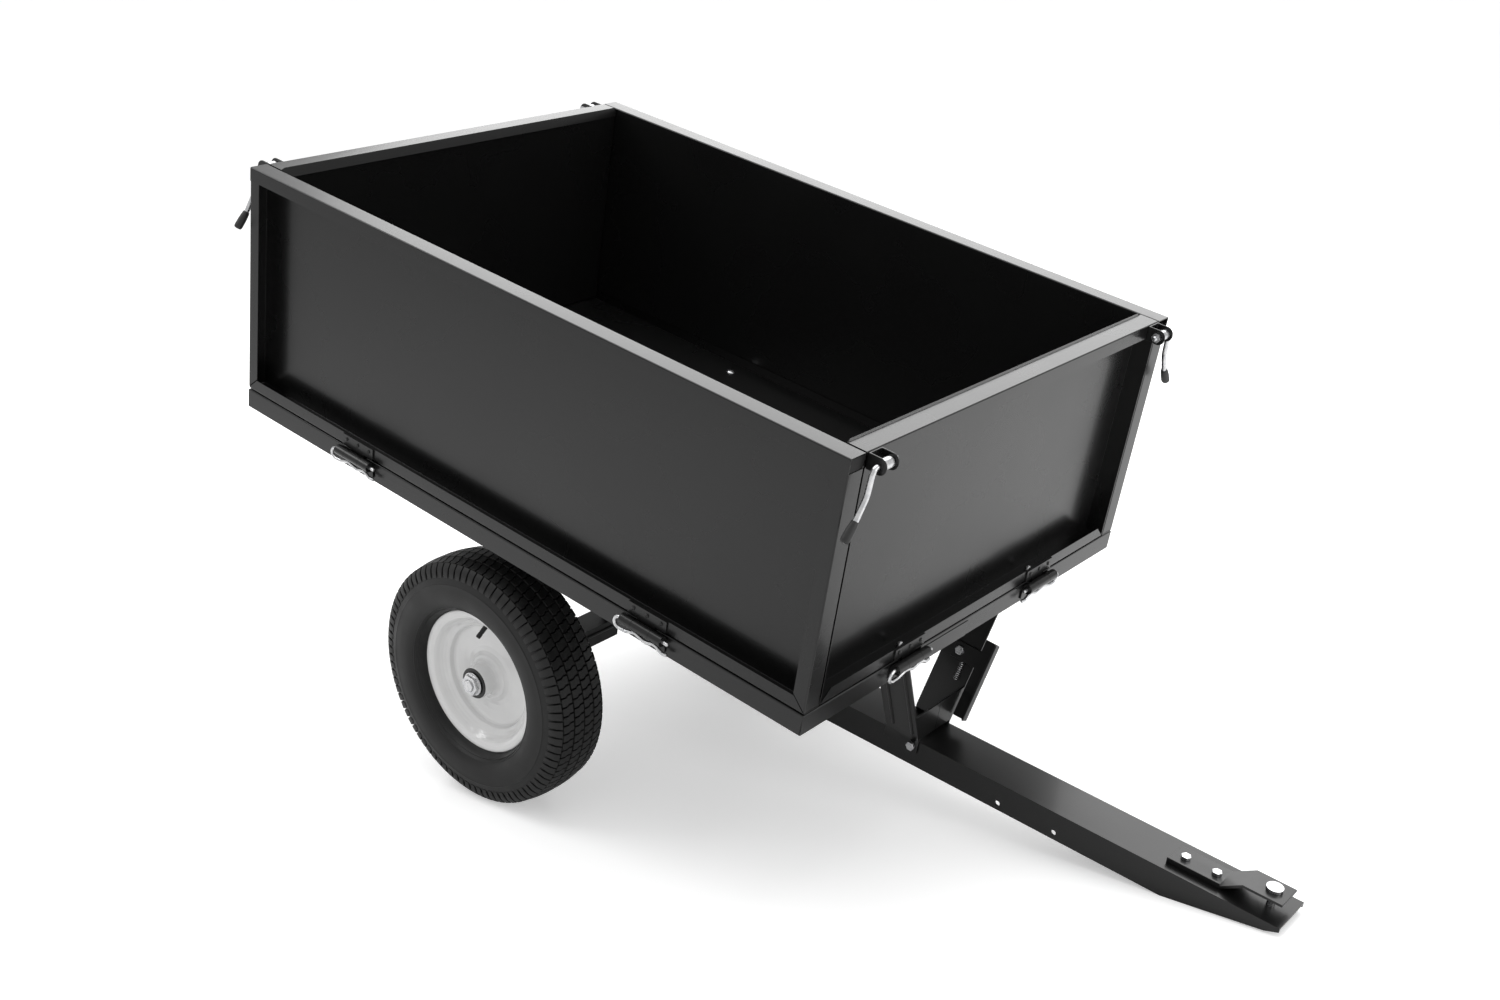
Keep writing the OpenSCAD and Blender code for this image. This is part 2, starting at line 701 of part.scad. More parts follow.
// The valve leans in from the well's sloping wall towards the hub.
module valve_place() rotate([0, 9, 0]) translate([0, 12, (well_radius + bead_radius) / 2])
    rotate([-90 - 39, 0, 0]) children();
module valve() valve_place() bar([0, 0, -4], [0, 0, 27], 4);

module on_left() translate([x_shift, wheel_y, wheel_radius]) children();
module on_right() mirror([0, 1, 0]) on_left() children();
module tyre_left() color("black") on_left() tyre();
module tyre_right() color("black") on_right() tyre();
module rim_left() color("white") on_left() rim();
module rim_right() color("white") on_right() rim();
module bearings_left() color("black") on_left() bearings();
module bearings_right() color("black") on_right() bearings();
module valve_left() color("black") on_left() valve();
module valve_right() color("black") on_right() valve();

tongue();
strut_left();
strut_right();
saddle();
stand_bolts();
axle();
axle_beams();
axle_nuts();
hitch_plate();
hitch_bolts();
hitch_pin();
hitch_clip();
lever_bolt();
release_lever();
lever_spring();
bed_floor();
floor_channels();
cradle();
hinge_seats();
striker();
floor_bolts();
front_panel();
rear_panel();
left_panel();
right_panel();
front_leaves();
rear_leaves();
left_leaves();
right_leaves();
front_brackets();
rear_brackets();
latch_front_left();
latch_front_right();
latch_rear_left();
latch_rear_right();
grip_front_left();
grip_front_right();
grip_rear_left();
grip_rear_right();
hairpin_front_left();
hairpin_front_right();
hairpin_rear_left();
hairpin_rear_right();
hairpin_left_front();
hairpin_left_rear();
hairpin_right_front();
hairpin_right_rear();
tyre_left();
rim_left();
bearings_left();
valve_left();
tyre_right();
rim_right();
bearings_right();
valve_right();
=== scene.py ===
import math

import bmesh
import bpy
from mathutils import Matrix, Vector


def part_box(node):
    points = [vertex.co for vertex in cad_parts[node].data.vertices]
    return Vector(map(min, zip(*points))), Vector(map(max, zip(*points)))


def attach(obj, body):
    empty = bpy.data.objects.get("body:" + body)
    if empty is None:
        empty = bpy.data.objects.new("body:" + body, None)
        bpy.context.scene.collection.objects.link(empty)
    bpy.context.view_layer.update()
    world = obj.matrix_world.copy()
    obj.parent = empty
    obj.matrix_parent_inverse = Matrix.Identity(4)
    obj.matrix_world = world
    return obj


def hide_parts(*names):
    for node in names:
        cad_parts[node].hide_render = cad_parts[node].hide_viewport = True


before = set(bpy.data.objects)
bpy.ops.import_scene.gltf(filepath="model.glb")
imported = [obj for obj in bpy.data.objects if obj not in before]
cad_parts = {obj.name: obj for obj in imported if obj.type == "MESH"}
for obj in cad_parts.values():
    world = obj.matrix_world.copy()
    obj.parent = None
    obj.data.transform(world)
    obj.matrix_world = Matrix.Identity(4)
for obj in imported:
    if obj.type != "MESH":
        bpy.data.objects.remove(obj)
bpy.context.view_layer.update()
scene = bpy.context.scene
pi = math.pi


# where things are: millimetres from the middle of the axle, as the cart's own drawing has them
cart = {
    "wheelRadius": 203, "track": 744,
    "tongueTop": 18.6, "tongueDepth": 45, "tongueWidth": 80, "tongueReach": 1180, "taperLength": 172,
    "tipDepth": 15, "tipSetback": 20,
    "bedLean": 3, "bedFront": 607, "bedLength": 1180, "bedWidth": 822, "bedRise": 246,
    "skirt": 32, "sheet": 1.6, "panelGap": 2, "panelHeight": 378, "panelDepth": 32,
    "sideHinge": 310, "endHinge": 174,
    "strutInset": 21, "strutWidth": 62, "strutLean": 25, "foldRise": 4,
}
floorTop = cart["bedRise"] + cart["skirt"]
panelFoot = floorTop + cart["panelGap"]
rimTop = panelFoot + cart["panelHeight"]
bedMiddle = cart["bedFront"] - cart["bedLength"] / 2
bedRear = cart["bedFront"] - cart["bedLength"]
halfWidth = cart["bedWidth"] / 2


def restAngle(x, z):  # the slope at which a point of the tongue touches the ground
    return math.asin(cart["wheelRadius"] / math.hypot(x, z)) + math.atan2(z, x)


tonguePitch = min(
    restAngle(cart["tongueReach"] - cart["taperLength"], cart["tongueTop"] - cart["tongueDepth"]),
    restAngle(cart["tongueReach"] - cart["tipSetback"], cart["tongueTop"] - cart["tipDepth"]))
bedPitch = tonguePitch + math.radians(cart["bedLean"])
tyreLow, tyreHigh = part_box("tyre_left")
axle = Vector(((tyreLow.x + tyreHigh.x) / 2, 0, (tyreLow.z + tyreHigh.z) / 2))
millimetres = Matrix.Scale(0.001, 4)
onChassis = Matrix.Translation(axle) @ Matrix.Rotation(tonguePitch, 4, "Y") @ millimetres
onBed = Matrix.Translation(axle) @ Matrix.Rotation(bedPitch, 4, "Y") @ millimetres
mirrorY = Matrix.Diagonal((1, -1, 1, 1))
rearward = Matrix.Translation((2 * bedMiddle, 0, 0)) @ Matrix.Diagonal((-1, 1, 1, 1))
print("placing done")


# camera and light

cameraView = {"target": (-0.1262, 0.0357, 0.4116), "distance": 2.9, "azimuth": 40.27, "elevation": 19.74,
              "roll": -2.31, "lens": 42.74, "sensor": 36}


def addCamera(v):
    az, el = math.radians(v["azimuth"]), math.radians(v["elevation"])
    forward = Vector((-math.sin(az) * math.cos(el), math.cos(az) * math.cos(el), -math.sin(el)))
    data = bpy.data.cameras.new("camera")
    data.lens, data.sensor_width = v["lens"], v["sensor"]
    camera = bpy.data.objects.new("camera", data)
    turn = forward.to_track_quat("-Z", "Y").to_matrix().to_4x4()
    camera.matrix_world = (Matrix.Translation(Vector(v["target"]) - forward * v["distance"])
                           @ turn @ Matrix.Rotation(math.radians(v["roll"]), 4, "Z"))
    scene.collection.objects.link(camera)
    scene.camera = camera


softboxes = {
    "overhead": {"at": (-0.3, 0.3, 3.4), "aim": (-0.1, 0, 0.3), "size": (3.6, 2.6), "power": 62},
    "backWall": {"at": (-1.2, 2.9, 2.9), "aim": (-0.1, 0, 0.5), "size": (4.4, 3.0), "power": 118},
    "edgeStrip": {"at": (-2.1, -1.0, 2.6), "aim": (0, 0, 0.4), "size": (1.8, 0.7), "power": 16},
    "nearRight": {"at": (3.2, 0.3, 1.3), "aim": (0.2, 0, 0.4), "size": (1.5, 1.5), "power": 22},
}
worldStrength = 0.72


def addLights(boxes):
    for name, b in boxes.items():
        data = bpy.data.lights.new(name, "AREA")
        data.shape, data.size, data.size_y = "RECTANGLE", b["size"][0], b["size"][1]
        data.energy = b["power"]
        lamp = bpy.data.objects.new(name, data)
        lamp.location = b["at"]
        lamp.rotation_euler = (Vector(b["aim"]) - Vector(b["at"])).to_track_quat("-Z", "Y").to_euler()
        scene.collection.objects.link(lamp)
    world = bpy.data.worlds.new("studio")
    world.use_nodes = True
    background = world.node_tree.nodes["Background"]
    background.inputs["Color"].default_value = (1, 1, 1, 1)
    background.inputs["Strength"].default_value = worldStrength
    scene.world = world
    scene.view_settings.view_transform = "Standard"


addCamera(cameraView)
addLights(softboxes)
print("camera and light done")


# finishes

def nodeSheet(name):
    material = bpy.data.materials.new(name)
    material.use_nodes = True
    tree = material.node_tree
    shader = tree.nodes["Principled BSDF"]
    where = tree.nodes.new("ShaderNodeTexCoord").outputs["Object"]
    return material, tree, shader, where


def noiseAt(tree, where, grain):
    noise = tree.nodes.new("ShaderNodeTexNoise")
    noise.inputs["Scale"].default_value, noise.inputs["Detail"].default_value = grain
    tree.links.new(where, noise.inputs["Vector"])
    return noise.outputs["Fac"]


noiseSpan = (0.3, 0.7)  # most of a noise lies between these


def spread(tree, value, ends):
    mapRange = tree.nodes.new("ShaderNodeMapRange")
    mapRange.inputs["From Min"].default_value, mapRange.inputs["From Max"].default_value = noiseSpan
    mapRange.inputs["To Min"].default_value, mapRange.inputs["To Max"].default_value = ends
    tree.links.new(value, mapRange.inputs["Value"])
    return mapRange.outputs["Result"]


def tinted(tree, value, dark, light):
    ramp = tree.nodes.new("ShaderNodeValToRGB")
    for element, position, colour in zip(ramp.color_ramp.elements, noiseSpan, (dark, light)):
        element.position, element.color = position, (*colour, 1)
    tree.links.new(value, ramp.inputs["Fac"])
    return ramp.outputs["Color"]


def bumped(tree, shader, value, strength, depth):
    bump = tree.nodes.new("ShaderNodeBump")
    bump.inputs["Strength"].default_value = strength
    bump.inputs["Distance"].default_value = depth
    tree.links.new(value, bump.inputs["Height"])
    tree.links.new(bump.outputs["Normal"], shader.inputs["Normal"])


# in every look: a noise is its scale and detail, a bump its strength and depth in metres
powderCoat = {"peel": (420, 3), "cloud": (5.5, 4), "depth": 0.0004, "ior": 1.42, "coat": 0.1, "coatRoughness": 0.1}
bedCoat = {"dark": 0.0046, "light": 0.006, "roughness": (0.25, 0.31), "peel": 0.018}
frameCoat = {"dark": 0.0036, "light": 0.0052, "roughness": (0.28, 0.35), "peel": 0.025}


def blackPowderCoat(name, look):
    material, tree, shader, where = nodeSheet(name)
    fine = noiseAt(tree, where, powderCoat["peel"])
    broad = noiseAt(tree, where, powderCoat["cloud"])
    tree.links.new(tinted(tree, fine, (look["dark"],) * 3, (look["light"],) * 3), shader.inputs["Base Color"])
    tree.links.new(spread(tree, broad, look["roughness"]), shader.inputs["Roughness"])
    shader.inputs["IOR"].default_value = powderCoat["ior"]
    shader.inputs["Coat Weight"].default_value = powderCoat["coat"]
    shader.inputs["Coat Roughness"].default_value = powderCoat["coatRoughness"]
    bumped(tree, shader, fine, look["peel"], powderCoat["depth"])
    return material


zincLook = {"cloud": (160, 4), "drawn": (900, 3), "dark": (0.5332, 0.5394, 0.558), "light": (0.6944,) * 3,
            "roughness": (0.2, 0.34), "bump": (0.08, 0.0002)}


def brightZinc(name, look):
    material, tree, shader, where = nodeSheet(name)
    cloud = noiseAt(tree, where, look["cloud"])
    drawn = noiseAt(tree, where, look["drawn"])
    tree.links.new(tinted(tree, cloud, look["dark"], look["light"]), shader.inputs["Base Color"])
    shader.inputs["Metallic"].default_value = 1
    tree.links.new(spread(tree, cloud, look["roughness"]), shader.inputs["Roughness"])
    bumped(tree, shader, drawn, *look["bump"])
    return material


rubberLook = {"grain": (1300, 3), "bloom": (26, 5), "dark": (0.004,) * 3, "light": (0.0085, 0.0085, 0.008245),
              "roughness": (0.42, 0.56), "specular": 0.36, "bump": (0.12, 0.0003)}


def tyreRubber(name, look):
    material, tree, shader, where = nodeSheet(name)
    grain = noiseAt(tree, where, look["grain"])
    bloom = noiseAt(tree, where, look["bloom"])
    tree.links.new(tinted(tree, bloom, look["dark"], look["light"]), shader.inputs["Base Color"])
    tree.links.new(spread(tree, bloom, look["roughness"]), shader.inputs["Roughness"])
    shader.inputs["Specular IOR Level"].default_value = look["specular"]
    bumped(tree, shader, grain, *look["bump"])
    return material


enamelLook = {"cloud": (14, 3), "peel": (260, 2), "dark": (0.68,) * 3, "light": (0.73, 0.73, 0.725),
              "roughness": (0.14, 0.22), "coat": 0.5, "coatRoughness": 0.06, "bump": (0.05, 0.0005)}


def rimEnamel(name, look):
    material, tree, shader, where = nodeSheet(name)
    broad = noiseAt(tree, where, look["cloud"])
    peel = noiseAt(tree, where, look["peel"])
    tree.links.new(tinted(tree, broad, look["dark"], look["light"]), shader.inputs["Base Color"])
    tree.links.new(spread(tree, broad, look["roughness"]), shader.inputs["Roughness"])
    shader.inputs["Coat Weight"].default_value = look["coat"]
    shader.inputs["Coat Roughness"].default_value = look["coatRoughness"]
    bumped(tree, shader, peel, *look["bump"])
    return material


moulded = {"grain": (1600, 2), "cloud": (90, 3), "darker": 0.8, "lighter": 1.3, "bump": (0.1, 0.0002)}
gripLook = {"roughness": (0.45, 0.6), "shade": 0.012}
sealLook = {"roughness": (0.35, 0.5), "shade": 0.008}


def mouldedBlack(name, look):
    material, tree, shader, where = nodeSheet(name)
    grain = noiseAt(tree, where, moulded["grain"])
    broad = noiseAt(tree, where, moulded["cloud"])
    dark, light = (look["shade"] * moulded["darker"],) * 3, (look["shade"] * moulded["lighter"],) * 3
    tree.links.new(tinted(tree, broad, dark, light), shader.inputs["Base Color"])
    tree.links.new(spread(tree, broad, look["roughness"]), shader.inputs["Roughness"])
    bumped(tree, shader, grain, *moulded["bump"])
    return material


paperLook = {"cloud": (2, 4), "dark": (0.86,) * 3, "light": (0.9,) * 3, "roughness": 0.7, "glow": 0.38}


def studioFloor(name, look):
    material, tree, shader, where = nodeSheet(name)
    cloud = noiseAt(tree, where, look["cloud"])
    tree.links.new(tinted(tree, cloud, look["dark"], look["light"]), shader.inputs["Base Color"])
    shader.inputs["Roughness"].default_value = look["roughness"]
    shader.inputs["Emission Color"].default_value = (1, 1, 1, 1)
    # the paper looks white to the camera without lighting the cart from below
    lift = tree.nodes.new("ShaderNodeMath")
    lift.operation = "MULTIPLY"
    lift.inputs[1].default_value = look["glow"]
    tree.links.new(tree.nodes.new("ShaderNodeLightPath").outputs["Is Camera Ray"], lift.inputs[0])
    tree.links.new(lift.outputs["Value"], shader.inputs["Emission Strength"])
    return material


coat = blackPowderCoat("blackPowderCoat", bedCoat)
chassisCoat = blackPowderCoat("chassisPowderCoat", frameCoat)
zinc = brightZinc("brightZinc", zincLook)
tyreFinish = tyreRubber("tyreRubber", rubberLook)
rimFinish = rimEnamel("rimEnamel", enamelLook)
gripFinish = mouldedBlack("gripRubber", gripLook)
sealFinish = mouldedBlack("sealPlastic", sealLook)
print("finishes done")


# workshop: how a shape becomes a finished piece

def evaluated(holder):
    depsgraph = bpy.context.evaluated_depsgraph_get()
    return bpy.data.meshes.new_from_object(holder.evaluated_get(depsgraph), depsgraph=depsgraph)


# bevel and wall are in millimetres; an edge sharper than foldAngle is bevelled, one sharper than crease is not smoothed
def settle(name, mesh, finish, body, replaced=(), bevel=0, steps=2, wall=0, foldAngle=30, crease=38):
    holder = bpy.data.objects.new(name, mesh)
    scene.collection.objects.link(holder)
    for polygon in mesh.polygons:
        polygon.use_smooth = True
    if bevel:
        m = holder.modifiers.new("bevel", "BEVEL")
        m.width, m.segments = bevel * 0.001, steps
        m.limit_method, m.angle_limit = "ANGLE", math.radians(foldAngle)
        m.use_clamp_overlap, m.miter_outer = True, "MITER_ARC"
    if wall:
        m = holder.modifiers.new("wall", "SOLIDIFY")
        m.thickness, m.offset, m.use_even_offset, m.use_rim = wall * 0.001, -1, True, True
    solid = evaluated(holder)
    holder.modifiers.clear()
    holder.data = solid
    solid.set_sharp_from_angle(angle=math.radians(crease))
    m = holder.modifiers.new("shading", "WEIGHTED_NORMAL")
    m.keep_sharp = True
    shaded = evaluated(holder)
    holder.modifiers.clear()
    holder.data = shaded
    shaded.name = name
    shaded.materials.clear()
    shaded.materials.append(finish)
    for polygon in shaded.polygons:
        polygon.material_index = 0
    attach(holder, body)
    if replaced:
        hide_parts(*replaced)


def toMesh(name, shape, place, closed=True):
    shape.transform(place)
    if closed:
        bmesh.ops.remove_doubles(shape, verts=shape.verts, dist=1e-7)
        bmesh.ops.recalc_face_normals(shape, faces=shape.faces)
    elif place.determinant() < 0:
        bmesh.ops.reverse_faces(shape, faces=shape.faces)
    mesh = bpy.data.meshes.new(name)
    shape.to_mesh(mesh)
    shape.free()
    return mesh


drawnSolid = {"weld": 2e-6, "flat": 0.6, "foldAngle": 35}


def softened(name, nodes, finish, body, bevel):
    shape = bmesh.new()
    for node in nodes:  # a copy of the drawn solid, its flat faces joined up so that its edges can be rounded
        shape.from_mesh(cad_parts[node].data)
    bmesh.ops.remove_doubles(shape, verts=shape.verts, dist=drawnSolid["weld"])
    bmesh.ops.dissolve_limit(shape, angle_limit=math.radians(drawnSolid["flat"]), verts=shape.verts, edges=shape.edges)
    mesh = bpy.data.meshes.new(name)
    shape.to_mesh(mesh)
    shape.free()
    settle(name, mesh, finish, body, nodes, bevel, foldAngle=drawnSolid["foldAngle"])


rounding = {"straight": pi - 0.04, "share": 0.46}  # the angle that is left alone, the most of a side that is cut off


def rounded(points, radius, steps, closed=False):  # a radius for all corners, or one for each
    result = []
    count = len(points)
    for i, point in enumerate(points):
        point = Vector(point)
        if not closed and i in (0, count - 1):
            result.append(point)
            continue
        before, after = Vector(points[i - 1]) - point, Vector(points[(i + 1) % count]) - point
        reach = radius[i] if isinstance(radius, (list, tuple)) else radius
        angle = before.angle(after)
        if angle > rounding["straight"] or reach <= 0:
            result.append(point)
            continue
        cut = min(reach / math.tan(angle / 2), rounding["share"] * before.length, rounding["share"] * after.length)
        a, b = point + before.normalized() * cut, point + after.normalized() * cut
        for s in range(steps + 1):
            t = s / steps
            result.append(a * (1 - t) ** 2 + point * (2 * t * (1 - t)) + b * t ** 2)
    return result


def spun(profile, count):  # a closed outline of (radius, y), turned about Y
    shape = bmesh.new()
    rings = []
    for k in range(count):
        a = 2 * pi * k / count
        rings.append([shape.verts.new((p[0] * math.sin(a), p[1], p[0] * math.cos(a))) for p in profile])
    size = len(profile)
    for k in range(count):
        here, there = rings[k], rings[(k + 1) % count]
        for i in range(size):
            j = (i + 1) % size
            if profile[i][0] < 1e-6 and profile[j][0] < 1e-6:
                continue
            shape.faces.new((here[i], here[j], there[j], there[i]))
    bmesh.ops.remove_doubles(shape, verts=shape.verts, dist=1e-4)
    bmesh.ops.dissolve_degenerate(shape, edges=shape.edges, dist=1e-5)
    return shape


def skinned(shape, rings):  # each ring joined to the next, and both ends shut
    for here, there in zip(rings, rings[1:]):
        for k in range(len(here)):
            j = (k + 1) % len(here)
            shape.faces.new((here[k], here[j], there[j], there[k]))
    shape.faces.new(list(reversed(rings[0])))
    shape.faces.new(rings[-1])


barEnd = {"dome": 0.55, "rings": [(1, 0.45), (0.6, 0.8)]}  # how far out each ring of an end stands, and its size


def swept(path, radius, sides=14):  # a round bar along a path, with domed ends
    path = [Vector(p) for p in path]
    shape = bmesh.new()
    tangent = (path[1] - path[0]).normalized()
    across = tangent.orthogonal().normalized()
    rings = []

    def ring(at, along, size):
        side = along.cross(across).normalized()
        front = side.cross(along).normalized()
        rings.append([shape.verts.new(at + size * (front * math.cos(2 * pi * k / sides)
                                                   + side * math.sin(2 * pi * k / sides))) for k in range(sides)])
        return front

    for out, size in barEnd["rings"]:
        ring(path[0] - tangent * radius * barEnd["dome"] * out, tangent, radius * size)
    for i, point in enumerate(path):
        ahead = path[min(i + 1, len(path) - 1)] - path[max(i - 1, 0)]
        across = ring(point, ahead.normalized(), radius)
        tangent = ahead.normalized()
    for out, size in reversed(barEnd["rings"]):
        ring(path[-1] + tangent * radius * barEnd["dome"] * out, tangent, radius * size)
    skinned(shape, rings)
    return shape


def joined(*shapes):
    whole = bmesh.new()
    for shape in shapes:
        mesh = bpy.data.meshes.new("part")
        shape.to_mesh(mesh)
        shape.free()
        whole.from_mesh(mesh)
        bpy.data.meshes.remove(mesh)
    return whole


def turnedTo(shape, matrix):
    shape.transform(matrix)
    return shape


def prism(sides, radius, height, chamfer):  # a nut standing on Z, its corners taken off
    shape = bmesh.new()
    rings = []
    for r, z in ((radius - chamfer * 0.5, 0), (radius, chamfer * 0.35), (radius, height - chamfer * 0.45),
                 (radius - chamfer, height)):
        rings.append([shape.verts.new((r * math.cos(2 * pi * k / sides), r * math.sin(2 * pi * k / sides), z))
                      for k in range(sides)])
    skinned(shape, rings)
    return shape


# growing what repeats

def copiesTree(name, onPoints):
    tree = bpy.data.node_groups.new(name, "GeometryNodeTree")
    add, link = tree.nodes.new, tree.links.new
    tree.interface.new_socket("Geometry", in_out="INPUT", socket_type="NodeSocketGeometry")
    tree.interface.new_socket("Piece", in_out="INPUT", socket_type="NodeSocketObject")
    if not onPoints:
        tree.interface.new_socket("Count", in_out="INPUT", socket_type="NodeSocketInt")
        tree.interface.new_socket("Step", in_out="INPUT", socket_type="NodeSocketFloat")
    tree.interface.new_socket("Finish", in_out="INPUT", socket_type="NodeSocketMaterial")
    tree.interface.new_socket("Geometry", in_out="OUTPUT", socket_type="NodeSocketGeometry")
    given, result = add("NodeGroupInput"), add("NodeGroupOutput")
    info, copies = add("GeometryNodeObjectInfo"), add("GeometryNodeInstanceOnPoints")
    real, paint = add("GeometryNodeRealizeInstances"), add("GeometryNodeSetMaterial")
    link(given.outputs["Piece"], info.inputs["Object"])
    link(info.outputs["Geometry"], copies.inputs["Instance"])
    if onPoints:
        link(given.outputs["Geometry"], copies.inputs["Points"])
    else:  # every copy turns about the axle by its number times the step
        line, number, times, euler = (add("GeometryNodeMeshLine"), add("GeometryNodeInputIndex"),
                                      add("ShaderNodeMath"), add("ShaderNodeCombineXYZ"))
        line.inputs["Offset"].default_value = (0, 0, 0)
        times.operation = "MULTIPLY"
        link(given.outputs["Count"], line.inputs["Count"])
        link(line.outputs["Mesh"], copies.inputs["Points"])
        link(number.outputs["Index"], times.inputs[0])
        link(given.outputs["Step"], times.inputs[1])
        link(times.outputs["Value"], euler.inputs["Y"])
        link(euler.outputs["Vector"], copies.inputs["Rotation"])
    link(copies.outputs["Instances"], real.inputs["Geometry"])
    link(real.outputs["Geometry"], paint.inputs["Geometry"])
    link(given.outputs["Finish"], paint.inputs["Material"])
    link(paint.outputs["Geometry"], result.inputs["Geometry"])
    return tree


coilFacets = {"turn": 20, "wire": 8}


def coilTree(name):
    tree = bpy.data.node_groups.new(name, "GeometryNodeTree")
    add, link = tree.nodes.new, tree.links.new
    tree.interface.new_socket("Geometry", in_out="INPUT", socket_type="NodeSocketGeometry")
    for label in ("Turns", "Radius", "Height", "Wire"):
        tree.interface.new_socket(label, in_out="INPUT", socket_type="NodeSocketFloat")
    tree.interface.new_socket("Finish", in_out="INPUT", socket_type="NodeSocketMaterial")
    tree.interface.new_socket("Geometry", in_out="OUTPUT", socket_type="NodeSocketGeometry")
    given, result = add("NodeGroupInput"), add("NodeGroupOutput")
    spiral, section = add("GeometryNodeCurveSpiral"), add("GeometryNodeCurvePrimitiveCircle")
    tube, real, paint = (add("GeometryNodeCurveToMesh"), add("GeometryNodeRealizeInstances"),
                         add("GeometryNodeSetMaterial"))
    spiral.inputs["Resolution"].default_value = coilFacets["turn"]
    section.inputs["Resolution"].default_value = coilFacets["wire"]
    link(given.outputs["Turns"], spiral.inputs["Rotations"])
    link(given.outputs["Radius"], spiral.inputs["Start Radius"])
    link(given.outputs["Radius"], spiral.inputs["End Radius"])
    link(given.outputs["Height"], spiral.inputs["Height"])
    link(given.outputs["Wire"], section.inputs["Radius"])
    link(spiral.outputs["Curve"], tube.inputs["Curve"])
    link(section.outputs["Curve"], tube.inputs["Profile Curve"])
    tube.inputs["Fill Caps"].default_value = True
    link(tube.outputs["Mesh"], real.inputs["Geometry"])
    link(real.outputs["Geometry"], paint.inputs["Geometry"])
    link(given.outputs["Finish"], paint.inputs["Material"])
    link(paint.outputs["Geometry"], result.inputs["Geometry"])
    return tree


def grown(tree, values, piece=None, points=()):
    start = bpy.data.meshes.new("start")
    start.from_pydata([tuple(p) for p in points], [], [])
    holder = bpy.data.objects.new("holder", start)
    scene.collection.objects.link(holder)
    source = None
    if piece:
        mesh = bpy.data.meshes.new("source")
        piece.to_mesh(mesh)
        piece.free()
        for polygon in mesh.polygons:
            polygon.use_smooth = True
        source = bpy.data.objects.new("source", mesh)
        scene.collection.objects.link(source)
        values = {**values, "Piece": source}
    modifier = holder.modifiers.new("grow", "NODES")
    modifier.node_group = tree
    for socket in tree.interface.items_tree:
        if socket.item_type == "SOCKET" and socket.in_out == "INPUT" and socket.name in values:
            modifier[socket.identifier] = values[socket.name]
    mesh = evaluated(holder)
    holder.modifiers.clear()
    bpy.data.objects.remove(holder)
    if source:
        bpy.data.objects.remove(source)
    return mesh


roundAxle = copiesTree("copiesRoundTheAxle", False)
atPoints = copiesTree("copiesAtPoints", True)
wireCoil = coilTree("wireCoil")


def placed(mesh, place, name):
    shape = bmesh.new()
    shape.from_mesh(mesh)
    bpy.data.meshes.remove(mesh)
    return toMesh(name, shape, place)


# wheels

# edge: points across a block, and which way its end is shifted there; levels: how much wider a block is, how high
tread = {"pitches": 84, "rows": 4, "rowStep": 20.6, "width": 18.4, "length": 12.9, "kink": 1.5,
         "edge": [(-1, -1), (-0.3, -1), (0.1, 1), (1, 1)], "levels": [(1.08, -6.2), (1.0, -0.7), (0.94, 0)]}
crown = [(0, 203), (10, 203), (24, 202), (40, 199), (48, 193), (53, 179), (56, 158)]
# a shoulder lug: how far out, at what radius, half its width, how deep its top is sunk, how much the depth goes inwards
shoulder = [(42.6, 199.0, 6.3, -0.3, 0.35), (45.6, 195.4, 6.2, 0, 0.35), (48.4, 191.6, 6.0, 0, 0.35),
            (50.6, 186.6, 5.7, -0.2, 0.8), (52.2, 181.6, 5.3, -0.9, 0.8), (53.2, 177.6, 4.9, -2.0, 0.8)]
# its section from the root to the top: the share of the half width, what is added to it, and how deep
lugSide = [(1, 0.8, -5.2), (1, 0, -0.5), (0.86, 0, 0)]


def crownAt(y):
    y = abs(y)
    for (y0, r0), (y1, r1) in zip(crown, crown[1:]):
        if y <= y1:
            return r0 + (r1 - r0) * (y - y0) / (y1 - y0)
    return crown[-1][1]


def treadPitch(t):  # one pitch of the pattern, at the top of the tyre
    shape = bmesh.new()
    pitch, radius = 2 * pi / t["pitches"], cart["wheelRadius"]

    def at(u, y, height):
        r = crownAt(y) + height
        return shape.verts.new((r * math.sin(u / radius), y, r * math.cos(u / radius)))

    half, reach, kink = t["width"] / 2, t["length"] / 2, t["kink"]
    outline = ([(reach + kink * e, half * y) for y, e in t["edge"]]
               + [(-reach + kink * e, half * y) for y, e in reversed(t["edge"])])
    for row in range(t["rows"]):
        middle = (row - (t["rows"] - 1) / 2) * t["rowStep"]
        shift = pitch * radius / 2 * (row % 2)
        skinned(shape, [[at(u * grow + shift, middle + y * grow, height) for u, y in outline]
                        for grow, height in t["levels"]])
    for side, turn in ((-1, pitch / 2), (1, 0)):
        stations = []
        for y, r, width, sink, inwards in shoulder:
            flank = [(width * share + more, drop + sink) for share, more, drop in lugSide]
            ring = []
            for u, depth in [(-u, depth) for u, depth in flank] + flank[::-1]:
                a, high = u / radius + turn, r + depth * (1 - inwards)
                ring.append(shape.verts.new((high * math.sin(a), side * (y + depth * inwards), high * math.cos(a))))
            stations.append(ring)
        skinned(shape, stations)
    bmesh.ops.recalc_face_normals(shape, faces=shape.faces)
    return shape


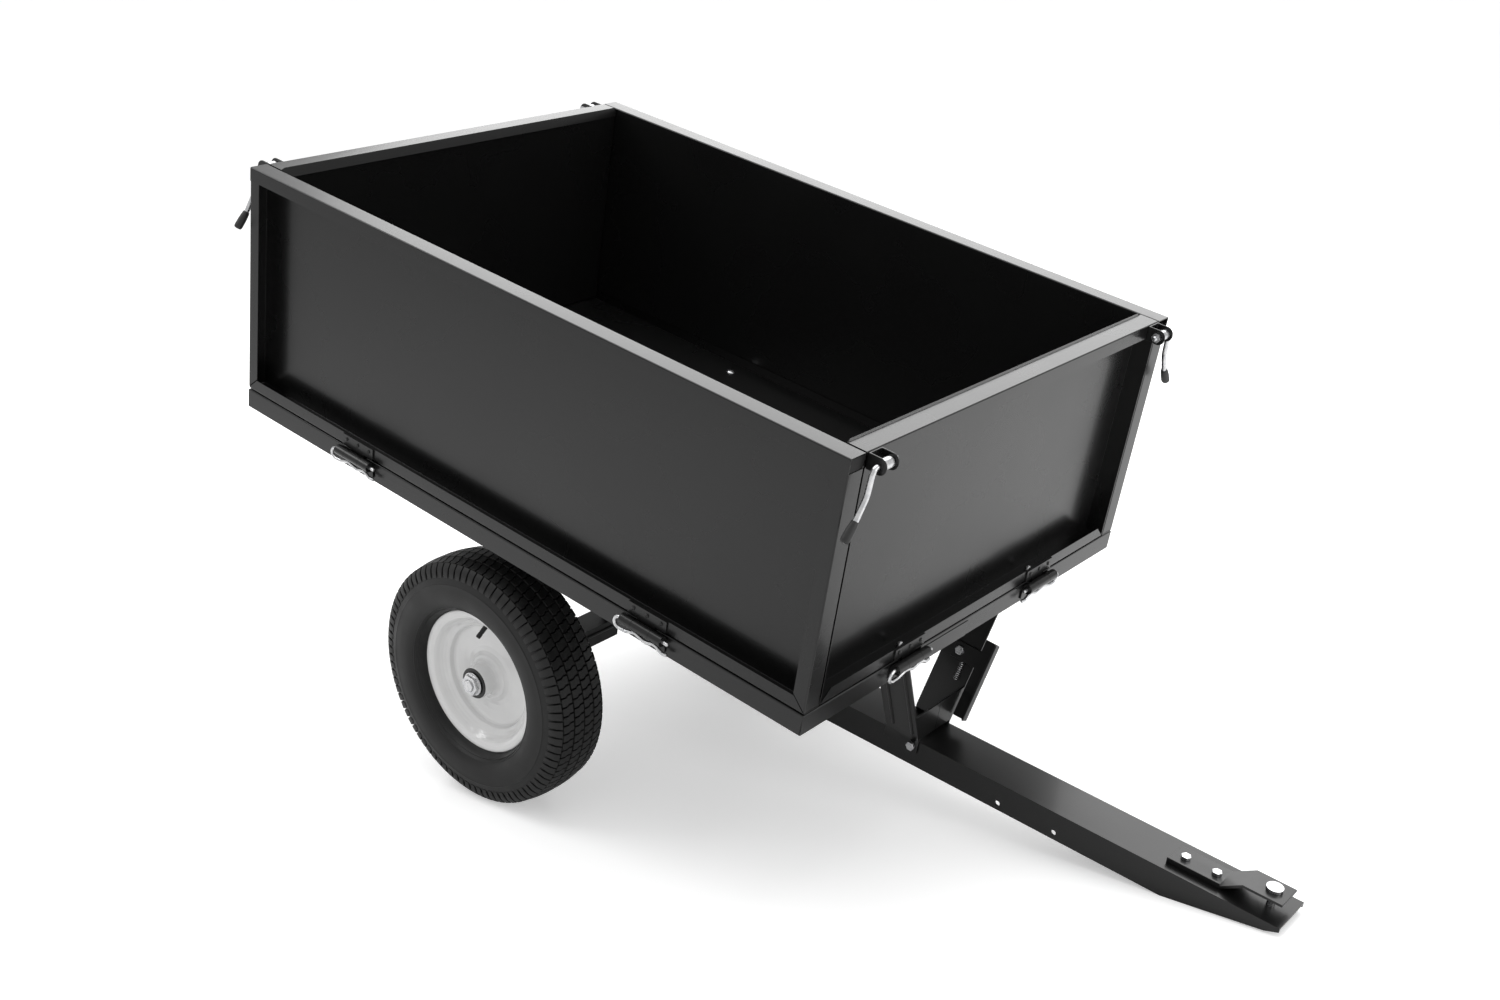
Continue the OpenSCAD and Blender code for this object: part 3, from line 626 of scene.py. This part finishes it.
# outlines of the wheel: the tyre's runs outwards as (y, radius), all others are (radius, y) and closed
carcass = [(0, 197.6), (12, 197.5), (24, 196.6), (34, 194.8), (41, 192), (46, 187.8), (49.6, 181.5), (51.8, 174.5),
           (53.2, 168.6), (53.5, 167.8), (54.5, 167.2), (54.7, 166.2), (54.3, 165.4), (55.3, 158), (55.6, 151),
           (55.2, 144), (54.4, 139), (52.8, 134.4), (50.6, 130.4), (49.6, 129.2), (49.8, 128.4), (48.8, 127.6),
           (46.4, 125.8), (45.2, 125.1), (45.4, 124.3), (44.3, 123.6), (40.6, 121.7), (36.6, 120.4), (33.4, 119.6),
           (31.4, 118.6), (29.4, 116.6), (28.4, 112), (28.2, 106)]
flange = [(118, 28.6), (118.2, 31), (116.8, 32.3), (113.5, 32.2), (108.5, 31.2), (104.2, 29.2), (101.6, 26),
          (99, 21.8), (95.4, 17.6), (91, 14.2), (88, 12.6)]
dish = [(86.4, 11.4), (85.4, 8.4), (84, 4.8), (81.6, 2.9), (76, 2.2), (62, 2.3), (50, 3.2), (42, 5), (38, 7.4),
        (35.6, 9.6), (32, 10.6), (29.4, 12.4), (27, 16), (26, 20)]
hubTube = [(26, 36.6), (25.4, 37.2), (23.2, 37.2), (23.2, -41), (26, -41), (26, 4.6)]
dishBack = [(30, 6), (36, 3.4), (44, 0.6), (76, -1.2), (82.6, -0.8), (84.6, -3.8), (85.6, -9.6)]
barrel = [(107.4, -28.2), (105, -26), (105, -16), (90, -9.8), (88, -8), (88, 8), (90, 9.8), (105, 16), (105, 26),
          (107.4, 28.2)]
rimOutline = flange + dish + hubTube + dishBack + [(r, -y) for r, y in reversed(flange)] + barrel
sealOutline = [(9.7, 26.2), (22.9, 26.2), (22.9, 37.3), (24.9, 37.4), (25.2, 38.2), (24.6, 39.3), (22.4, 39.8),
               (20.6, 39.2), (18.6, 39), (17.6, 39.6), (14, 39.8), (9.7, 39.8)]
backSeal = [(9.7, -30.2), (9.7, -43.8), (14, -43.8), (22.6, -43.4), (22.9, -42.4), (22.9, -30.2)]
valveOutline = [(0, -4), (3.9, -4), (3.9, 16.5), (3.4, 17.2), (3.4, 18.2), (3.9, 18.8), (3.9, 25.4), (3.3, 26.8),
                (1.8, 27), (0, 27)]
valveLean = {"around": 9, "inward": 39, "y": 12, "radius": 96.5}
rimBend = {"radius": 2.4, "steps": 3}
facets = {"tyre": 168, "rim": 144, "seals": 48, "valve": 24}


def makeWheel(side):
    place = Matrix.Translation(axle + Vector((0, cart["track"] / 2000, 0))) @ millimetres
    if side == "right":
        place = mirrorY @ place
    body, end = "wheel_" + side, side.capitalize()
    outer = [(r, y) for y, r in carcass]
    tyre = spun(outer + [(r, -y) for r, y in reversed(outer[1:])], facets["tyre"])
    settle("tyreBody" + end, toMesh("tyre", tyre, place), tyreFinish, body, ["tyre_" + side], crease=50)
    blocks = grown(roundAxle, {"Count": tread["pitches"], "Step": 2 * pi / tread["pitches"], "Finish": tyreFinish},
                   treadPitch(tread))
    settle("tread" + end, placed(blocks, place, "tread"), tyreFinish, body, crease=30)
    outline = [tuple(p) for p in rounded([(*p, 0) for p in rimOutline], rimBend["radius"], rimBend["steps"], True)]
    rim = spun(outline, facets["rim"])
    settle("rimDish" + end, toMesh("rim", rim, place), rimFinish, body, ["rim_" + side], crease=60)
    seals = joined(spun(sealOutline, facets["seals"]), spun(backSeal, facets["seals"]))
    settle("bearingSeals" + end, toMesh("seals", seals, place), sealFinish, body,
           ["bearings_" + side], crease=40)
    stem = turnedTo(spun(valveOutline, facets["valve"]), Matrix.Rotation(math.radians(valveLean["around"]), 4, "Y")
                    @ Matrix.Translation((0, valveLean["y"], valveLean["radius"]))
                    @ Matrix.Rotation(-math.radians(valveLean["inward"]), 4, "X"))
    settle("valveStem" + end, toMesh("valve", stem, place), sealFinish, body, ["valve_" + side],
           crease=40)


for side in ("left", "right"):
    makeWheel(side)
print("wheels done")


# bed: folded sheet

# endGap: how far below the rim the end panels' flanges stop
folds = {"radius": 2.6, "steps": 3, "mitreGap": 0.9, "notch": 2.2, "topLip": 22, "footLip": 20, "endLip": 22,
         "endGap": 2}


def foldedPanel(width, height, depth, endLip, endTop):
    # u along the panel, v outwards, w up; the web is at v = -depth and the flanges come out to v = 0
    shape = bmesh.new()
    h, n, g = width / 2, folds["notch"], folds["mitreGap"]
    v = shape.verts.new
    web = {}
    for s in (-1, 1):
        web[s, "foot"] = v((s * h, -depth, 0))
        web[s, "low"] = v((s * h, -depth, n))
        web[s, "high"] = v((s * h, -depth, endTop))
        web[s, "top"] = v((s * h, -depth, height))
    for a, b in (("foot", "low"), ("low", "high"), ("high", "top")):
        shape.faces.new((web[-1, a], web[-1, b], web[1, b], web[1, a]))
    # the foot's lip is cut back to make way for the ends' lips; the rim's lip runs through
    for key, level, lip, sign, cut in (("top", height, folds["topLip"], -1, 0),
                                       ("foot", 0, folds["footLip"], 1, folds["footLip"] + g)):
        left, right = v((-h, 0, level)), v((h, 0, level))
        lipRight, lipLeft = v((h - cut, 0, level + sign * lip)), v((cut - h, 0, level + sign * lip))
        flange = [web[-1, key], left, right, web[1, key]]
        lipFace = [left, lipLeft, lipRight, right]
        if sign > 0:
            flange.reverse()
            lipFace.reverse()
        shape.faces.new(flange)
        shape.faces.new(lipFace)
    for s in (-1, 1):
        low, high = v((s * h, 0, n)), v((s * h, 0, endTop))
        flange = [web[s, "low"], web[s, "high"], high, low]
        if s > 0:
            flange.reverse()
        shape.faces.new(flange)
        if endLip:
            corner = v((s * (h - endLip), 0, n + folds["footLip"] + g))
            lipFace = [low, high, v((s * (h - endLip), 0, endTop)), corner]
            if s > 0:
                lipFace.reverse()
            shape.faces.new(lipFace)
    return shape


def makePanel(side, place, width, endLip, endTop):
    shape = foldedPanel(width, cart["panelHeight"], cart["panelDepth"], endLip, endTop)
    bmesh.ops.recalc_face_normals(shape, faces=shape.faces)
    name, body = side + "PanelSheet", side + "_panel"
    settle(name, toMesh(name, shape, place, closed=False), coat, body, [body], folds["radius"],
           folds["steps"], cart["sheet"])


toLeft = Matrix.Translation((bedMiddle, halfWidth, panelFoot))
toFront = Matrix.Translation((cart["bedFront"], 0, panelFoot)) @ Matrix.Rotation(-pi / 2, 4, "Z")
endWidth = cart["bedWidth"] - 2 * (cart["panelDepth"] + cart["panelGap"])
for side, place in (("left", onBed @ toLeft), ("right", onBed @ mirrorY @ toLeft)):
    makePanel(side, place, cart["bedLength"], folds["endLip"], cart["panelHeight"] - folds["topLip"])
for side, place in (("front", onBed @ toFront), ("rear", onBed @ rearward @ toFront)):
    makePanel(side, place, endWidth, 0, cart["panelHeight"] - folds["endGap"])

tray = {"radius": 2.4, "cornerGap": 1.8}


def floorTray():
    shape = bmesh.new()
    top, low, g = floorTop, cart["bedRise"], tray["cornerGap"]
    x0, x1, y1 = bedRear, cart["bedFront"], halfWidth
    v = shape.verts.new
    a, b, c, d = (v(p) for p in ((x0, -y1, top), (x1, -y1, top), (x1, y1, top), (x0, y1, top)))
    shape.faces.new((a, b, c, d))
    for p, q, (px, py), (qx, qy) in ((a, b, (x0 + g, -y1), (x1 - g, -y1)), (c, d, (x1 - g, y1), (x0 + g, y1)),
                                     (b, c, (x1, -y1), (x1, y1)), (d, a, (x0, y1), (x0, -y1))):
        shape.faces.new((q, p, v((px, py, low)), v((qx, qy, low))))
    return shape


settle("bedTray", toMesh("tray", floorTray(), onBed, closed=False), coat, "bed", ["bed_floor"],
       tray["radius"], folds["steps"], cart["sheet"])


def boxed(low, high):
    shape = bmesh.new()
    bmesh.ops.create_cube(shape, size=1)
    low, high = Vector(low), Vector(high)
    shape.transform(Matrix.Translation((low + high) / 2) @ Matrix.Diagonal((*(high - low), 1)))
    return shape


# a second plate on part of the front skirt
plate = {"from": -134, "to": -16, "half": 1, "belowTop": 6, "bevel": 0.5}
doubler = boxed((cart["bedFront"] - plate["half"], plate["from"], cart["bedRise"]),
                (cart["bedFront"] + plate["half"], plate["to"], floorTop - plate["belowTop"]))
settle("skirtDoubler", toMesh("doubler", doubler, onBed), coat, "bed", bevel=plate["bevel"])
print("bed done")


# steel parts whose drawn shape only needs its edges rounded

for name, nodes, finish, body, slot, bevel in (
        ("tongueChannel", ["tongue"], chassisCoat, "chassis", "chassis_paint", 2.2),
        ("strutLeft", ["strut_left"], chassisCoat, "chassis", "chassis_paint", 1.2),
        ("strutRight", ["strut_right"], chassisCoat, "chassis", "chassis_paint", 1.2),
        ("saddlePlate", ["saddle"], chassisCoat, "chassis", "chassis_paint", 1.0),
        ("standBolts", ["stand_bolts"], zinc, "chassis", "zinc", 0.6),
        ("axleBar", ["axle"], zinc, "chassis", "zinc", 1.2),
        ("axleBeams", ["axle_beams"], chassisCoat, "chassis", "chassis_paint", 0.9),
        ("axleNuts", ["axle_nuts"], zinc, "chassis", "zinc", 0.7),
        ("hitchPlate", ["hitch_plate"], chassisCoat, "chassis", "chassis_paint", 1.2),
        ("hitchBolts", ["hitch_bolts"], zinc, "chassis", "zinc", 0.6),
        ("hitchPin", ["hitch_pin"], zinc, "hitch_pin", "zinc", 0.9),
        ("hitchClip", ["hitch_clip"], zinc, "hitch_pin", "zinc", 0.3),
        ("leverBolt", ["lever_bolt"], zinc, "chassis", "zinc", 0.6),
        ("releaseLever", ["release_lever"], chassisCoat, "release_lever", "chassis_paint", 1.1),
        ("floorChannels", ["floor_channels"], coat, "bed", "bed_paint", 0.9),
        ("cradleChannel", ["cradle"], coat, "bed", "bed_paint", 1.1),
        ("hingeSeats", ["hinge_seats"], coat, "bed", "bed_paint", 0.5),
        ("strikerLoop", ["striker"], zinc, "bed", "zinc", 0.3),
        ("frontLeaves", ["front_leaves"], coat, "front_panel", "bed_paint", 0.5),
        ("rearLeaves", ["rear_leaves"], coat, "rear_panel", "bed_paint", 0.5),
        ("leftLeaves", ["left_leaves"], coat, "left_panel", "bed_paint", 0.5),
        ("rightLeaves", ["right_leaves"], coat, "right_panel", "bed_paint", 0.5),
        ("frontBrackets", ["front_brackets"], coat, "front_panel", "bed_paint", 0.9),
        ("rearBrackets", ["rear_brackets"], coat, "rear_panel", "bed_paint", 0.9)):
    softened(name, nodes, finish, body, bevel)
print("steel parts done")


# wires, latches and grips

hinge = {"out": 9.5, "height": floorTop - 6, "length": 78, "knuckle": 8}
hairpin = {"wire": 2.75, "back": 4, "ahead": 9, "steps": 5}


def hairpinPath():  # one leg lies in the knuckles, the other turns back below them and bends up twice to grip
    start, end = -hinge["length"] / 2 - hairpin["back"], hinge["length"] / 2 + hairpin["ahead"]
    touch = -(hinge["knuckle"] + 1.06 * hairpin["wire"] + 0.3)
    # along the knuckles, height, and the radius of the bend there
    bends = [(end, 0, 0), (start, 0, 7), (start - 6.5, -2.6, 7), (start - 9, -9, 7), (start - 6.5, -15.4, 7),
             (start, -18, 7), (start + 14, -17, 14), (-12, touch, 12), (8, touch - 5, 12), (26, touch, 12),
             (end - 8, touch - 7, 10), (end, touch - 6, 0)]
    return rounded([(u, 0, w) for u, w, bend in bends], [bend for u, w, bend in bends], hairpin["steps"])


def sideHinge(x):
    return Matrix.Translation((bedMiddle + x, halfWidth + hinge["out"], hinge["height"]))


def frontHinge(y):
    return (Matrix.Translation((cart["bedFront"] + hinge["out"], y, hinge["height"]))
            @ Matrix.Rotation(-pi / 2, 4, "Z") @ Matrix.Diagonal((-1, 1, 1, 1)))


hinges = {  # two on each side of the bed
    "left": [sideHinge(cart["sideHinge"]), sideHinge(-cart["sideHinge"])],
    "right": [mirrorY @ sideHinge(cart["sideHinge"]), mirrorY @ sideHinge(-cart["sideHinge"])],
    "front": [frontHinge(cart["endHinge"]), frontHinge(-cart["endHinge"])],
    "rear": [rearward @ frontHinge(cart["endHinge"]), rearward @ frontHinge(-cart["endHinge"])],
}
hairpins = {  # the pair at each end of the bed is mirrored
    "left_front": hinges["left"][0], "left_rear": hinges["left"][1],
    "right_front": hinges["right"][0], "right_rear": hinges["right"][1],
    "front_left": mirrorY @ hinges["front"][1], "front_right": hinges["front"][1],
    "rear_left": rearward @ mirrorY @ frontHinge(-cart["endHinge"]), "rear_right": hinges["rear"][1],
}
for name, place in hairpins.items():
    settle("hairpinWire_" + name, toMesh("wire", swept(hairpinPath(), hairpin["wire"]), onBed @ place), zinc,
           "hairpin_" + name, ["hairpin_" + name], crease=60)

latch = {"inset": 50, "ahead": 18, "earHole": rimTop - 13, "span": 28, "rod": 4, "drop": 92, "kneeOut": 11,
         "kneeDrop": 8, "neckOut": 17, "grip": 32, "tilt": math.radians(36)}
latchNut = {"sides": 6, "radius": 7.5, "height": 6, "chamfer": 0.9}
rollerOutline = [(0, -10.8), (7.2, -10.8), (8, -9.8), (8, 9.8), (7.2, 10.8), (0, 10.8)]
gripOutline = [(4.1, 1.5), (4.8, 1.7), (5.4, 3.6), (6, 9), (6.5, 16), (6.6, 26), (6.3, 29.4), (5, 31.2), (2.8, 31.8),
               (0, 31.8), (0, 30.2), (4.1, 30.2)]


def latchPlace():
    return Matrix.Translation((cart["bedFront"] + latch["ahead"], halfWidth - latch["inset"], latch["earHole"]))


def latchBends():  # the knee outside the ear, the neck where the grip starts, and the height between them
    bow = latch["drop"] - latch["kneeDrop"] - latch["grip"] * math.cos(latch["tilt"])
    knee = Vector((0, latch["span"] / 2 + latch["kneeOut"], -latch["kneeDrop"]))
    return knee, knee + Vector((0, latch["neckOut"], -bow)), bow


def latchShape():
    inner, outer = -latch["span"] / 2 - 0.3, latch["span"] / 2 + 3
    knee, neck, bow = latchBends()
    end = neck + (latch["grip"] - 2) * Vector((0, math.sin(latch["tilt"]), -math.cos(latch["tilt"])))
    path = [(0, inner - 9, 0), (0, outer, 0), (0, outer + 5.6, -2.4), knee, knee + Vector((0, 3, -bow * 0.52)), neck,
            end]
    rod = swept(rounded(path, [0, 4, 5, 8, 30, 20, 0], 5), latch["rod"], 16)
    nut = turnedTo(prism(**latchNut), Matrix.Translation((0, inner, 0)) @ Matrix.Rotation(pi / 2, 4, "X"))
    return joined(rod, spun(rollerOutline, 28), nut)


def gripShape():
    neck = latchBends()[1]
    alongRod = Matrix.Rotation(pi + latch["tilt"], 4, "X") @ Matrix.Rotation(pi / 2, 4, "X")
    return turnedTo(spun(gripOutline, 32), Matrix.Translation(neck) @ alongRod)


corners = {"front_left": Matrix.Identity(4), "front_right": mirrorY,
           "rear_left": rearward, "rear_right": rearward @ mirrorY}
for name, corner in corners.items():
    place = onBed @ corner @ latchPlace()
    settle("latchRod_" + name, toMesh("rod", latchShape(), place), zinc, "latch_" + name, ["latch_" + name],
           crease=35)
    settle("latchGrip_" + name, toMesh("grip", gripShape(), place), gripFinish, "latch_" + name,
           ["grip_" + name], crease=40)
print("wires and latches done")


# small things that repeat

rivets = {"radius": 3.4, "height": 2.1, "spacing": 26, "proud": 2.5, "up": 12.5}


def dome(radius, height, rings=4, count=18):
    arc = [(radius * math.cos(pi / 2 * k / rings), height * math.sin(pi / 2 * k / rings)) for k in range(1, rings)]
    return spun([(radius, -0.6), (radius, 0)] + arc + [(0, height), (0, -0.6)], count)


def leafRivets(side, places):
    face, level = rivets["proud"] - hinge["out"], panelFoot - hinge["height"] + rivets["up"]
    points = [p @ Vector((u, face, level)) for p in places for u in (-rivets["spacing"], 0, rivets["spacing"])]
    turn = (places[0].to_3x3() @ Vector((0, 1, 0))).normalized()
    head = turnedTo(dome(rivets["radius"], rivets["height"]), turn.to_track_quat("Y", "Z").to_matrix().to_4x4())
    mesh = grown(atPoints, {"Finish": coat}, head, points)
    settle(side + "Rivets", placed(mesh, onBed, side + "Rivets"), coat, side + "_panel", crease=50)


for side, places in hinges.items():
    leafRivets(side, places)


def standingHeads(name, size, points):  # domed heads that point up from the bed
    head = turnedTo(dome(size["radius"], size["height"], 5, 24), Matrix.Rotation(pi / 2, 4, "X"))
    return placed(grown(atPoints, {"Finish": zinc}, head, points), onBed, name)


studs = {"radius": 6, "height": 8.6, "inset": 15, "across": 172}
for side, end in (("front", Matrix.Identity(4)), ("rear", rearward)):
    points = [end @ Vector((cart["bedFront"] - studs["inset"], y, panelFoot + cart["sheet"]))
              for y in (-studs["across"], studs["across"])]
    name = side + "Studs"
    settle(name, standingHeads(name, studs, points), zinc, side + "_panel", crease=50)

carriageBolts = {"radius": 8.5, "height": 3.4, "x": 162, "inset": 68}
boltPoints = [Vector((sx * carriageBolts["x"], sy * (halfWidth - carriageBolts["inset"]), floorTop))
              for sx in (-1, 1) for sy in (-1, 1)]
settle("carriageBolts", standingHeads("bolts", carriageBolts, boltPoints), zinc, "bed", ["floor_bolts"],
       crease=50)

spring = {"turns": 9.0, "radius": 3.5, "wire": 0.6, "length": 28.5, "at": (-18, -4.3, 64.6)}
coil = grown(wireCoil, {"Turns": spring["turns"], "Radius": spring["radius"], "Height": spring["length"],
                        "Wire": spring["wire"], "Finish": zinc})
# the spring stands in the frame of the left strut
strutX = cart["bedFront"] - cart["strutInset"]
strutRise = (strutX - cart["strutWidth"] / 2) * math.sin(math.radians(cart["bedLean"])) + cart["foldRise"]
strutFrame = (onBed @ Matrix.Translation((strutX, cart["tongueWidth"] / 2, cart["tongueTop"] + strutRise))
              @ Matrix.Rotation(-math.radians(cart["strutLean"]), 4, "X"))
settle("leverSpring", placed(coil, strutFrame @ Matrix.Translation(spring["at"]), "spring"), zinc, "chassis",
       ["lever_spring"], crease=60)
print("small things done")


# floor

floorReach = 40


def addFloor():
    shape = bmesh.new()
    bmesh.ops.create_grid(shape, x_segments=1, y_segments=1, size=floorReach)
    mesh = bpy.data.meshes.new("floor")
    shape.to_mesh(mesh)
    shape.free()
    floor = bpy.data.objects.new("floor", mesh)
    mesh.materials.append(studioFloor("studioFloor", paperLook))
    scene.collection.objects.link(floor)


addFloor()
